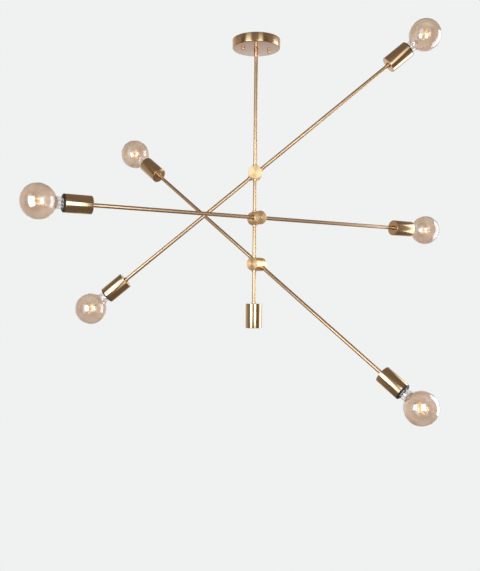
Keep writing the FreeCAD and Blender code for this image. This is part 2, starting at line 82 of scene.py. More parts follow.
# ---------------------------------------------------------------- shaping
class Outline:
    """A half section drawn with a pen in (radius, height), which is then turned about Z."""

    def __init__(self, radius: float, height: float) -> None:
        """Put the pen down.

        Args:
            radius: distance from the turning axis, in millimetres.
            height: height along the axis, in millimetres.
        """
        self.mesh = bmesh.new()
        self.first = self.mesh.verts.new((radius, 0.0, height))
        self.pen = self.first
        self.corners: list[tuple[BMVert, float, int]] = []

    def line(self, *points: tuple[float, ...]) -> "Outline":
        """Draw straight lines from point to point.

        Args:
            points: each a radius and a height and, where its corner is rounded, how far from the point the
                rounding starts and how many facets it has.

        Returns:
            The outline itself, so that calls can be chained.
        """
        for radius, height, *corner in points:
            vert = self.mesh.verts.new((radius, 0.0, height))
            self.mesh.edges.new((self.pen, vert))
            if corner:
                self.corners.append((vert, *corner))
            self.pen = vert
        return self

    def arc(self, radius: float, height: float, degrees: float, steps: int) -> "Outline":
        """Swing the pen about a centre, counter-clockwise when the angle is positive.

        Args:
            radius: the centre's distance from the axis.
            height: the centre's height.
            degrees: how far the pen swings.
            steps: straight pieces of the arc.

        Returns:
            The outline itself.
        """
        swing = bmesh.ops.spin(self.mesh, geom=[self.pen], cent=(radius, 0.0, height), axis=(0.0, -1.0, 0.0),
                               angle=math.radians(degrees), steps=steps)
        self.pen = next(item for item in swing["geom_last"] if isinstance(item, BMVert))
        return self

    def close(self) -> "Outline":
        """Join the pen to the starting point."""
        self.mesh.edges.new((self.pen, self.first))
        return self

    def turn(self, steps: int) -> BMesh:
        """Round the marked corners and turn the half section once about Z.

        Args:
            steps: facets round the axis.

        Returns:
            The closed mesh, its faces pointing outwards.
        """
        for vert, rounding, facets in self.corners:
            bmesh.ops.bevel(self.mesh, geom=[vert], offset=rounding, offset_type="OFFSET", segments=facets,
                            profile=0.5, affect="VERTICES", material=-1)
        drawn = list(self.mesh.verts) + list(self.mesh.edges)
        bmesh.ops.spin(self.mesh, geom=drawn, axis=(0.0, 0.0, 1.0), angle=math.tau, steps=steps,
                       use_merge=True)
        bmesh.ops.remove_doubles(self.mesh, verts=self.mesh.verts[:], dist=0.0004)
        bmesh.ops.dissolve_degenerate(self.mesh, dist=0.0002, edges=self.mesh.edges[:])
        bmesh.ops.recalc_face_normals(self.mesh, faces=self.mesh.faces[:])
        return self.mesh


def pipe(outer: float, inner: float, low: float, high: float, rounding: float, steps: int) -> BMesh:
    """Turn a tube between two radii and two heights, with both outer rims rounded."""
    section = Outline(inner, low).line((outer, low, rounding, 3), (outer, high, rounding, 3),
                                       (inner, high, rounding / 3.0, 1))
    return section.close().turn(steps)


def straight_bar(radius: float, start: Vector, end: Vector, segments: int) -> BMesh:
    """Make a plain round wire between two points.

    Args:
        radius: the wire's radius.
        start: one end.
        end: the other end.
        segments: facets round it.

    Returns:
        The wire's mesh.
    """
    reach = end - start
    place = Matrix.Translation((start + end) / 2.0) @ reach.to_track_quat("Z", "Y").to_matrix().to_4x4()
    mesh = bmesh.new()
    bmesh.ops.create_cone(mesh, cap_ends=True, segments=segments, radius1=radius, radius2=radius,
                          depth=reach.length, matrix=place)
    return mesh


def reshape(mesh: BMesh, rule: Callable[[float, float, float], float]) -> None:
    """Move every vertex in or out from the Z axis.

    Args:
        mesh: the mesh to change.
        rule: gives the new radius from a vertex's radius, angle and height.
    """
    for vert in mesh.verts:
        radius = math.hypot(vert.co.x, vert.co.y)
        if radius < 1e-6:
            continue
        scale = rule(radius, math.atan2(vert.co.y, vert.co.x), vert.co.z) / radius
        vert.co.x *= scale
        vert.co.y *= scale


class Blank:
    """A finished piece in its own frame, in millimetres, ready to be set into the object once or more."""

    def __init__(self) -> None:
        """Start with nothing on the bench."""
        self.parts: list[Mesh] = []
        self.finishes: list[Material] = []

    def add(self, part: BMesh, finish: Material, place: Matrix = ORIGIN) -> "Blank":
        """Add one turned part with its finish.

        Args:
            part: the part in its own frame, its axis along Z; it is used up.
            finish: the part's material.
            place: where the part stands in the piece, in millimetres.

        Returns:
            The blank itself.
        """
        if finish not in self.finishes:
            self.finishes.append(finish)
        self._mark(part, self.finishes.index(finish))
        part.transform(place)
        mesh = bpy.data.meshes.new("part")
        part.to_mesh(mesh)
        part.free()
        self.parts.append(mesh)
        return self

    @staticmethod
    def _mark(part: BMesh, finish: int) -> None:
        """Write a part's finish, smoothing, own place and unrolled surface on its mesh."""
        for edge in part.edges:
            edge.smooth = not (len(edge.link_faces) == 2 and edge.calc_face_angle(0.0) > CREASE)
        place = part.verts.layers.float_vector.new(PLACE_LAYER)
        for vert in part.verts:
            vert[place] = vert.co
        unrolled = part.loops.layers.uv.new(UV_LAYER)
        for face in part.faces:
            face.smooth = True
            if face.material_index == 0:
                face.material_index = finish
            middle = face.calc_center_median()
            base = math.atan2(middle.y, middle.x)
            for loop in face.loops:
                at = loop.vert.co
                reach = math.hypot(at.x, at.y)
                swing = 0.0 if reach < 1e-4 else math.remainder(math.atan2(at.y, at.x) - base, math.tau)
                loop[unrolled].uv = ((base + swing) / math.tau, (at.z + reach) / 100.0)

    def set_in(self, name: str, body: str, place: Matrix, slot: str, node: str) -> Object:
        """Set a copy of the piece into the object.

        Args:
            name: the new piece's name.
            body: the body that it moves with.
            place: its frame in the object, in millimetres.
            slot: a material slot's name; not used.
            node: the node that it stands for.

        Returns:
            The new object.
        """
        joined = bmesh.new()
        for part in self.parts:
            joined.from_mesh(part)
        joined.transform(Matrix.Scale(MM, 4) @ place)
        mesh = bpy.data.meshes.new(name)
        joined.to_mesh(mesh)
        joined.free()
        for finish in self.finishes:
            mesh.materials.append(finish)
        piece = bpy.data.objects.new(name, mesh)
        bpy.context.scene.collection.objects.link(piece)
        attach(piece, body)
        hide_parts(node)
        log.info("%s: %d faces, on %s", name, len(mesh.polygons), body)
        return piece


# ---------------------------------------------------------------- finishes
class Wiring:
    """Adds nodes to one shader tree and links them."""

    def __init__(self, tree: NodeTree) -> None:
        """Take a tree and empty it."""
        self.tree = tree
        tree.nodes.clear()

    def node(self, kind: str, **settings: object) -> Node:
        """Add a node.

        Args:
            kind: the node's type name without its "ShaderNode" start.
            settings: attributes of the node.

        Returns:
            The node.
        """
        made = self.tree.nodes.new("ShaderNode" + kind)
        for key, value in settings.items():
            setattr(made, key, value)
        return made

    def link(self, source: NodeSocket, target: NodeSocket) -> None:
        """Join an output to an input."""
        self.tree.links.new(source, target)

    def feed(self, sockets: Iterable[NodeSocket], values: Iterable[object]) -> None:
        """Link each input to its value, or set it when that is a number, a vector or a colour."""
        for socket, value in zip(sockets, values):
            if isinstance(value, NodeSocket):
                self.link(value, socket)
            else:
                socket.default_value = value

    def fill(self, node: Node, values: dict[str, object]) -> None:
        """Feed a node's inputs by name."""
        self.feed((node.inputs[name] for name in values), values.values())

    def maths(self, operation: str, *values: object, clamp: bool = False) -> NodeSocket:
        """Add a Math node.

        Args:
            operation: the node's operation.
            values: sockets or numbers for its inputs.
            clamp: whether the result is held from 0 to 1.

        Returns:
            Its output.
        """
        made = self.node("Math", operation=operation, use_clamp=clamp)
        self.feed(made.inputs, values)
        return made.outputs[0]

    def vectors(self, operation: str, *values: object) -> NodeSocket:
        """Add a Vector Math node.

        Args:
            operation: the node's operation.
            values: sockets or vectors for its inputs.

        Returns:
            Its output, which is a number for a length.
        """
        made = self.node("VectorMath", operation=operation)
        self.feed(made.inputs, values)
        return made.outputs["Value" if operation == "LENGTH" else "Vector"]

    def separate(self, vector: NodeSocket) -> list[NodeSocket]:
        """Return a vector's X, Y and Z."""
        made = self.node("SeparateXYZ")
        self.link(vector, made.inputs[0])
        return list(made.outputs)

    def weigh(self, *shares: tuple[NodeSocket, float], clamp: bool = False) -> NodeSocket:
        """Add up two values, each times its share; clamp holds the sum from 0 to 1."""
        return self.maths("ADD", *(self.maths("MULTIPLY", *share) for share in shares), clamp=clamp)

    def mix(self, factor: object, low: object, high: object) -> NodeSocket:
        """Mix two colours and return the result."""
        made = self.node("Mix", data_type="RGBA")
        values = [(*value, 1.0) if isinstance(value, tuple) else value for value in (factor, low, high)]
        self.feed((made.inputs[index] for index in (0, 6, 7)), values)
        return made.outputs[2]

    def levels(self, value: NodeSocket, stops: tuple[tuple[float, float], ...]) -> NodeSocket:
        """Look up a level that eases from stop to stop.

        Args:
            value: what is looked up, from 0 to 1.
            stops: place and level of each stop, in order.

        Returns:
            The level.
        """
        node = self.node("ValToRGB")
        node.color_ramp.interpolation = "EASE"
        elements = node.color_ramp.elements
        top = max(level for _, level in stops)
        elements.remove(elements[-1])
        for count, (place, level) in enumerate(stops):
            element = elements[0] if count == 0 else elements.new(place)
            element.position = place
            element.color = (level / top, level / top, level / top, 1.0)
        self.link(value, node.inputs[0])
        return self.maths("MULTIPLY", node.outputs["Color"], top)

    def spread(self, value: NodeSocket, low: float, high: float, start: float, end: float,
               smooth: bool = False) -> NodeSocket:
        """Map a value from one range to another, held at both ends.

        Args:
            value: the value.
            low: where the range starts.
            high: where the range ends.
            start: the result at low.
            end: the result at high.
            smooth: whether the change eases in and out.

        Returns:
            The mapped value.
        """
        made = self.node("MapRange", interpolation_type="SMOOTHSTEP" if smooth else "LINEAR")
        self.feed(made.inputs, (value, low, high, start, end))
        return made.outputs[0]

    def noise(self, vector: NodeSocket, scale: float, detail: float, roughness: float) -> NodeSocket:
        """Add noise and return its value."""
        made = self.node("TexNoise")
        self.fill(made, {"Vector": vector, "Scale": scale, "Detail": detail, "Roughness": roughness})
        return made.outputs[0]

    def effect(self, tree: NodeTree, *values: object) -> Node:
        """Use a shared effect, fed with its place and its size, and return its node."""
        made = self.node("Group", node_tree=tree)
        self.feed(made.inputs, values)
        return made

    def bump(self, shader: Node, height: NodeSocket, depth: float, strength: float = 0.3) -> None:
        """Press a relief into a shader's surface.

        Args:
            shader: the shader.
            height: the relief, from 0 to 1.
            depth: how deep it goes, in millimetres.
            strength: how much of it shows.
        """
        relief = self.node("Bump")
        self.fill(relief, {"Strength": strength, "Distance": depth * MM, "Height": height})
        self.link(relief.outputs[0], shader.inputs["Normal"])


class Effects:
    """The node groups that several finishes share."""

    @staticmethod
    def _group(name: str, size: str, *results: str) -> tuple[Wiring, Node, Node]:
        """Start a node group.

        Args:
            name: the group's name.
            size: the name of its second input; the first is Place, and both are in millimetres.
            results: names of its outputs, which are values.

        Returns:
            The wiring of the group, its input node and its output node.
        """
        tree = bpy.data.node_groups.new(name, "ShaderNodeTree")
        tree.interface.new_socket("Place", in_out="INPUT", socket_type="NodeSocketVector")
        tree.interface.new_socket(size, in_out="INPUT", socket_type="NodeSocketFloat")
        for result in results:
            tree.interface.new_socket(result, in_out="OUTPUT", socket_type="NodeSocketFloat")
        return Wiring(tree), tree.nodes.new("NodeGroupInput"), tree.nodes.new("NodeGroupOutput")

    @staticmethod
    @cache
    def brush_lines() -> NodeTree:
        """Make the fine lines that brushing leaves round a turned surface.

        Returns:
            A group from Place and Pitch to Shade and Height.
        """
        wiring, entry, result = Effects._group("brush_lines", "Pitch", "Shade", "Height")
        place, pitch, _ = entry.outputs
        flat = wiring.vectors("MULTIPLY", place, (1.0, 1.0, 0.0))
        run = wiring.maths("ADD", wiring.separate(place)[2], wiring.vectors("LENGTH", flat))
        round_axis = wiring.vectors("MULTIPLY", wiring.vectors("NORMALIZE", flat), (1.6, 1.6, 0.0))
        gather = wiring.node("CombineXYZ")
        wiring.feed(gather.inputs, (*wiring.separate(round_axis)[:2], wiring.maths("DIVIDE", run, pitch)))
        fine = wiring.noise(gather.outputs[0], *FINE_LINES)
        broad = wiring.noise(gather.outputs[0], *BROAD_LINES)
        both = wiring.weigh((fine, 0.65), (broad, 0.35))
        wiring.fill(result, {"Shade": wiring.spread(both, 0.34, 0.66, 0.0, 1.0), "Height": fine})
        return wiring.tree

    @staticmethod
    @cache
    def patches() -> NodeTree:
        """Make soft uneven patches, for tarnish, smears and cloudy coatings.

        Returns:
            A group from Place and Size to Mask.
        """
        wiring, entry, result = Effects._group("patches", "Size", "Mask")
        scaled = wiring.vectors("DIVIDE", entry.outputs["Place"], entry.outputs["Size"])
        large = wiring.noise(scaled, *CLOUDS)
        wiring.link(wiring.spread(large, 0.38, 0.68, 0.0, 1.0, smooth=True), result.inputs["Mask"])
        return wiring.tree


@dataclass(frozen=True)
class OwnPlace:
    """Reads a turned piece's place from the layer written when it was made."""

    suffix: str = ""

    def vector(self, wiring: Wiring) -> NodeSocket:
        """Return the place in the piece's own frame, in millimetres."""
        return wiring.node("Attribute", attribute_name=PLACE_LAYER).outputs["Vector"]

    def tangent(self, wiring: Wiring) -> NodeSocket:
        """Return the direction round the turning axis."""
        return wiring.node("Tangent", direction_type="UV_MAP", uv_map=UV_LAYER).outputs[0]


@dataclass(frozen=True)
class PlaceInFrame:
    """Reads a place from object coordinates, as seen from a turned part's own frame."""

    suffix: str
    frame_mm: Matrix

    def vector(self, wiring: Wiring) -> NodeSocket:
        """Return the place in the part's own frame, in millimetres."""
        mapping = wiring.node("Mapping", vector_type="TEXTURE")
        wiring.fill(mapping, {"Vector": wiring.node("TexCoord").outputs["Object"],
                              "Location": self.frame_mm.to_translation() * MM,
                              "Rotation": self.frame_mm.to_euler(), "Scale": (MM, MM, MM)})
        return mapping.outputs[0]

    def tangent(self, wiring: Wiring) -> NodeSocket:
        """Return the direction round the turning axis."""
        axis = self.frame_mm.to_3x3() @ Vector((0.0, 0.0, 1.0))
        away = wiring.vectors("SUBTRACT", wiring.node("TexCoord").outputs["Object"],
                              self.frame_mm.to_translation() * MM)
        unit = wiring.vectors("NORMALIZE", wiring.vectors("CROSS_PRODUCT", axis, away))
        world = wiring.node("VectorTransform", vector_type="VECTOR", convert_from="OBJECT",
                            convert_to="WORLD")
        wiring.link(unit, world.inputs[0])
        return world.outputs[0]


Place = OwnPlace | PlaceInFrame


def started(name: str) -> tuple[Material, Wiring, Node]:
    """Start a material.

    Args:
        name: the material's name.

    Returns:
        The material, its wiring and its main shader, which is already linked to the output.
    """
    material = bpy.data.materials.new(name)
    material.use_nodes = True
    material.cycles.emission_sampling = "NONE"
    wiring = Wiring(material.node_tree)
    shader = wiring.node("BsdfPrincipled")
    wiring.link(shader.outputs[0], wiring.node("OutputMaterial").inputs["Surface"])
    return material, wiring, shader


@dataclass(frozen=True)
class BrassFinish:
    """Brass that was turned or drawn, brushed, and then left to tone down under clear lacquer."""

    name: str
    colour: Colour
    toned: Colour
    roughness: float
    rough_spread: float
    pitch: float = 0.35
    depth: float = 0.0015
    anisotropy: float = 0.0
    patch_size: float = 22.0
    toning: float = 0.5
    toning_shares: tuple[float, float] = (0.45, 0.55)
    rough_shares: tuple[float, float] = (0.7, 0.3)
    lacquer: float = 0.1
    lacquer_roughness: float = 0.10
    round_axis: float = 0.25

    def dress(self, place: Place = OwnPlace()) -> Material:
        """Make the material.

        Args:
            place: where the pattern's place comes from.

        Returns:
            The material.
        """
        material, wiring, shader = started(self.name + place.suffix)
        spot = place.vector(wiring)
        shade, height = wiring.effect(Effects.brush_lines(), spot, self.pitch).outputs
        mask = wiring.effect(Effects.patches(), spot, self.patch_size).outputs["Mask"]
        uneven, rough = (wiring.weigh(*zip((shade, mask), shares))
                         for shares in (self.toning_shares, self.rough_shares))
        factor = wiring.maths("MULTIPLY", uneven, self.toning, clamp=True)
        half = self.rough_spread / 2.0
        wiring.fill(shader, {
            "Base Color": wiring.mix(factor, self.colour, self.toned), "Metallic": 1.0,
            "Roughness": wiring.spread(rough, 0.0, 1.0, self.roughness - half, self.roughness + half),
            "Coat Weight": self.lacquer, "Coat Roughness": self.lacquer_roughness})
        if self.anisotropy > 0.0:
            wiring.fill(shader, {"Anisotropic": self.anisotropy, "Anisotropic Rotation": self.round_axis,
                                 "Tangent": place.tangent(wiring)})
        wiring.bump(shader, height, self.depth)
        return material


@dataclass(frozen=True)
class PlainFinish:
    """Moulded, plated or painted surfaces with a fine grain, and a painted glow where one is given."""

    name: str
    colour: Colour
    second: Colour
    roughness: float
    rough_spread: float
    metallic: float = 0.0
    grain: float = 0.8
    patch_size: float = 9.0
    depth: float = 0.01
    # painted_glow is emission put on a part that is no lit lamp: a painted glow.
    painted_glow: float = 0.0
    coat: float = 0.0

    def dress(self, place: Place = OwnPlace()) -> Material:
        """Make the material.

        Args:
            place: where the pattern's place comes from.

        Returns:
            The material.
        """
        material, wiring, shader = started(self.name + place.suffix)
        spot = place.vector(wiring)
        tone = wiring.effect(Effects.patches(), spot, self.patch_size)
        grain = wiring.noise(spot, 1.0 / self.grain, 2.0, 0.5)
        colour = wiring.mix(tone.outputs["Mask"], self.colour, self.second)
        half = self.rough_spread / 2.0
        wiring.fill(shader, {
            "Base Color": colour, "Metallic": self.metallic, "Coat Weight": self.coat,
            "Roughness": wiring.spread(grain, 0.3, 0.7, self.roughness - half, self.roughness + half)})
        # Painted glow: the colour is also emitted, so the part shines though nothing lights it from within.
        if self.painted_glow > 0.0:
            wiring.fill(shader, {"Emission Color": colour, "Emission Strength": self.painted_glow})
        wiring.bump(shader, grain, self.depth)
        return material


@dataclass(frozen=True)
class GlassFinish:
    """Blown glass with a coloured coat that thins out towards the neck."""

    name: str
    clear: Colour
    tint: Colour
    rim: Colour
    clear_below: float
    tinted_above: float
    ior: float = 1.5
    haze: float = 0.015
    cloud_size: float = 44.0
    cloud_share: float = 0.5
    rim_share: float = 0.4
    rim_blend: float = 0.35
    rim_power: float = 2.0
    ripple: float = 0.02
    ripple_strength: float = 0.25
    sheen: float = 0.0
    sheen_roughness: float = 0.01
    sheen_ior: float = 2.0

    def dress(self, place: Place = OwnPlace()) -> Material:
        """Make the material.

        Args:
            place: where the pattern's place comes from.

        Returns:
            The material.
        """
        material, wiring, shader = started(self.name + place.suffix)
        spot = place.vector(wiring)
        height = wiring.separate(spot)[2]
        coat = wiring.spread(height, self.clear_below, self.tinted_above, 0.0, 1.0, smooth=True)
        cloud = wiring.effect(Effects.patches(), spot, self.cloud_size).outputs["Mask"]
        edge = wiring.node("LayerWeight")
        edge.inputs["Blend"].default_value = self.rim_blend
        steep = wiring.maths("POWER", edge.outputs["Facing"], self.rim_power)
        thick = wiring.weigh((steep, self.rim_share), (cloud, self.cloud_share), clamp=True)
        coated = wiring.mix(thick, self.tint, self.rim)
        wiring.fill(shader, {
            "Base Color": wiring.mix(coat, self.clear, coated), "Transmission Weight": 1.0, "IOR": self.ior,
            "Roughness": wiring.spread(cloud, 0.0, 1.0, 0.0, self.haze), "Coat Weight": self.sheen,
            "Coat Roughness": self.sheen_roughness, "Coat IOR": self.sheen_ior})
        wiring.bump(shader, wiring.noise(spot, *RIPPLES), self.ripple, self.ripple_strength)
        return material


BRASS: Colour = (0.62, 0.43, 0.25)
BRASS_TONED: Colour = (0.50, 0.32, 0.16)


class Palette:
    """Every finish of the object, made once."""

    def __init__(self) -> None:
        """Make the finishes of the turned pieces and name those that are dressed in a node's own frame."""
        worn = (BRASS, BRASS_TONED)
        self.drawn = BrassFinish("ground_brass", *worn, 0.36, 0.04, pitch=0.5, depth=0.0002, anisotropy=0.5,
                                 patch_size=40.0, toning=0.4)
        # The hubs get a brighter copy of the brass, a painted highlight for the light that their brushed
        # discs catch.
        self.hub_finish_painted_highlight = BrassFinish("brushed_brass_hub_painted_highlight", (0.86, 0.59, 0.31), (0.77, 0.50, 0.24), 0.40, 0.04,
                                      pitch=0.3, depth=0.0002, anisotropy=0.5, patch_size=20.0, toning=0.4)
        self.steel_finish = PlainFinish("zinc_steel", (0.62, 0.63, 0.64), (0.50, 0.51, 0.53), 0.36, 0.16,
                                        metallic=1.0, grain=1.5, patch_size=5.0, depth=0.02)
        self.sheath_finish = PlainFinish("lead_sheath", (0.05, 0.05, 0.055), (0.08, 0.08, 0.085), 0.55, 0.1,
                                         grain=0.6)
        self.resin = PlainFinish("black_phenolic", (0.006, 0.005, 0.005), (0.012, 0.010, 0.009), 0.50, 0.12,
                                 grain=0.5).dress()
        self.amber = GlassFinish("amber_glass", (0.96, 0.96, 0.95), (0.87, 0.75, 0.65), (0.56, 0.41, 0.30),
                                 -50.0, -32.0, sheen=0.7).dress()
        self.clear_glass = GlassFinish("clear_glass", (0.97, 0.97, 0.96), (0.97, 0.97, 0.96),
                                       (0.85, 0.86, 0.85), -60.0, -50.0, ripple=0.01).dress()
        self.ceramic = PlainFinish("white_plug", (0.86, 0.85, 0.82), (0.80, 0.79, 0.75), 0.45, 0.10,
                                   grain=1.0).dress()
        self.nickel = PlainFinish("nickel_plate", (0.72, 0.69, 0.64), (0.60, 0.57, 0.52), 0.22, 0.12,
                                  metallic=1.0, grain=0.7, patch_size=6.0, depth=0.005).dress()
        # The unlit filament sticks get a painted glow, which brightens them behind the glass that shades
        # them.
        self.phosphor_painted_glow = PlainFinish("filament_phosphor_painted_glow", (1.0, 0.56, 0.10), (1.0, 0.66, 0.16), 0.55, 0.15,
                                    grain=0.4, patch_size=2.0, painted_glow=1.3).dress()
        self.black_glass = PlainFinish("cap_insulator", (0.02, 0.02, 0.025), (0.03, 0.03, 0.03), 0.15, 0.08,
                                       grain=1.2, coat=0.5).dress()
        self.cup_brass = BrassFinish("satin_brass_cup", *worn, 0.16, 0.03, depth=0.0004,
                                     anisotropy=0.6).dress()
        self.canopy_brass = BrassFinish("satin_brass_canopy", *worn, 0.22, 0.06, pitch=0.3, depth=0.0004,
                                        anisotropy=0.7).dress()
        # The canopy's floor is the same brass in a paler, pinkish copy: a painted reflection of the pale room
        # below.
        self.floor_brass_painted_reflection = BrassFinish("polished_brass_floor_painted_reflection", (0.62, 0.48, 0.41), (0.52, 0.39, 0.32), 0.20,
                                       0.06, pitch=1.2, depth=0.0003, patch_size=45.0).dress()
        self.drawn_brass = self.drawn.dress()
        self.small_brass = BrassFinish("turned_brass", *worn, 0.22, 0.05, pitch=0.25, depth=0.0004,
                                       anisotropy=0.4, patch_size=14.0).dress()


# ---------------------------------------------------------------- the object
@dataclass(frozen=True)
class Tube:
    """The threaded brass tube that the stem and the arms are cut from, and its lock rings."""

    outer: float = 4.75
    bore: float = 3.75
    fit: float = 0.03
    ring_radius: float = 6.25
    ring_height: float = 4.5
    ring_edge: float = 0.5
    hub_end: float = 7.0
    seat: float = 15.708

    def length(self, low: float, high: float) -> BMesh:
        """Cut a length of tube along Z, between two heights."""
        return pipe(self.outer, self.bore, low, high, 0.3, 40)

    def ring(self, low: float) -> BMesh:
        """Turn a lock ring whose lower face is at a height."""
        inner = self.outer + self.fit
        return pipe(self.ring_radius, inner, low, low + self.ring_height, self.ring_edge, 56)


@dataclass(frozen=True)
class Cup:
    """The spun brass cup behind a lamp, its closed end at the origin; the finial is another one."""

    radius: float = 21.0
    length: float = 62.0
    wall: float = 1.2
    lip_share: float = 0.4
    back: float = 2.0
    edge: float = 0.8
    hole: float = 5.0

    def shell(self) -> BMesh:
        """Turn the cup."""
        outer, inner, lip = self.radius, self.radius - self.wall, self.wall * self.lip_share
        section = Outline(self.hole, 0.0).line(
            (outer, 0.0, self.edge, 5), (outer, self.length, lip, 3), (inner, self.length, lip, 3),
            (inner, self.back, 1.0, 3), (self.hole, self.back))
        return section.close().turn(96)


@dataclass
class CeilingFixing:
    """The canopy, its nuts, ring and coupler, and the fixing kit inside it."""

    palette: Palette
    tube: Tube
    azimuth: float = 21.0
    radius: float = 60.0
    height: float = 22.0
    wall: float = 1.2
    edge: float = 2.5
    nut_spacing: float = 70.0
    nut_radius: float = 4.5
    nut_height: float = 7.0
    ring_radius: float = 7.0
    ring_height: float = 1.2
    coupler_radius: float = 5.6
    coupler_length: float = 18.0
    coupler_end_radius: float = 5.1
    coupler_taper: float = 2.5

    def neck_top(self) -> float:
        """Return the height of the coupler's upper end, under the ring."""
        return -self.height - self.ring_height

    def canopy(self) -> None:
        """Spin the canopy, with its wall brushed and its floor polished, the floor in a paler brass that
        paints in the reflection of the room below.
        """
        hole, low = self.tube.outer + 0.25, -self.height
        inner, floor = self.radius - self.wall, low + self.wall
        section = Outline(hole, low).line(
            (self.radius, low, self.edge, 8), (self.radius, 0.0, 0.3, 2), (inner, 0.0, 0.3, 2),
            (inner, floor, self.edge - self.wall, 6), (hole, floor))
        shell = section.close().turn(192)
        # The floor faces take the paler brass with its painted reflection.
        for face in shell.faces:
            if face.normal.z < -0.999 and face.calc_center_median().z < low + 0.1:
                face.material_index = 1
        blank = Blank()
        blank.finishes += [self.palette.canopy_brass, self.palette.floor_brass_painted_reflection]
        blank.add(shell, self.palette.canopy_brass)
        blank.set_in("canopy_shell", "ceiling_kit", turned_about("Z", self.azimuth), "satin_brass", "canopy")

    def nuts(self) -> None:
        """Turn the two domed cap nuts."""
        blank, radius, low = Blank(), self.nut_radius, -self.nut_height
        for side in (-1.0, 1.0):
            nut = Outline(0.0, low).line((radius, low, radius / 2.0, 7), (radius, 0.0, 0.25, 2), (0.0, 0.0))
            place = moved(side * self.nut_spacing / 2.0, 0.0, -self.height)
            blank.add(nut.turn(40), self.palette.small_brass, place)
        blank.set_in("canopy_cap_nuts", "ceiling_kit", turned_about("Z", self.azimuth), "turned_brass",
                     "canopy_nuts")

    def neck(self) -> None:
        """Turn the coupler below the canopy's ring."""
        fit, top = self.tube.outer + self.tube.fit, self.neck_top()
        low = top - self.coupler_length
        coupler = Outline(fit, low).line(
            (self.coupler_end_radius, low, 0.15, 2), (self.coupler_radius, low + self.coupler_taper, 0.8, 4),
            (self.coupler_radius, top, 0.2, 2), (fit, top))
        blank = Blank().add(coupler.close().turn(56), self.palette.small_brass)
        blank.set_in("coupler", "ceiling_kit", ORIGIN, "turned_brass", "stem_coupler")

    def kit(self) -> None:
        """Dress the fixing parts that hide in the canopy."""
        turn = turned_about("Z", self.azimuth)
        steel = self.palette.steel_finish.dress(PlaceInFrame("_kit", turn))
        dress_node("crossbar", steel)
        dress_node("crossbar_screws", steel)
        dress_node("supply_leads", self.palette.sheath_finish.dress(PlaceInFrame("_supply", turn)))
        dress_node("ceiling_nipple", self.palette.drawn.dress(PlaceInFrame("_nipple", ORIGIN)))

    def build(self) -> None:
        """Make every part of the fixing."""
        self.canopy()
        self.nuts()
        self.neck()
        self.kit()


def dress_node(node: str, finish: Material) -> None:
    """Give a carried-over node its finish.

    Args:
        node: the node's name.
        finish: its new material.
    """
    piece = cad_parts[node]
    if not piece.material_slots:
        piece.data.materials.append(finish)
    for slot in piece.material_slots:
        slot.material = finish
    log.info("%s: dressed in %s", node, finish.name)


class Side(Enum):
    """The two ends of an arm, as turns from the hub's axis."""

    RIGHT = 90.0
    LEFT = -90.0


@dataclass(frozen=True)
class Tier:
    """Where one hub and its arm stand."""

    name: str
    azimuth: float
    tilt: float
    height: float
    right_lamp: str
    left_lamp: str
    arm_offset: float = 21.0

    def hub(self) -> Matrix:
        """Return the hub's frame: X along its level arm, Y along the hub."""
        return moved(z=self.height) @ turned_about("Z", self.azimuth)

    def arm(self) -> Matrix:
        """Return the arm's frame: X along the rods, Y along the hub."""
        return self.hub() @ moved(y=self.arm_offset) @ turned_about("Y", -self.tilt)

    def lamp(self, side: Side) -> Matrix:
        """Return a lamp's frame: Z outwards along its rod."""
        return self.arm() @ turned_about("Y", side.value)


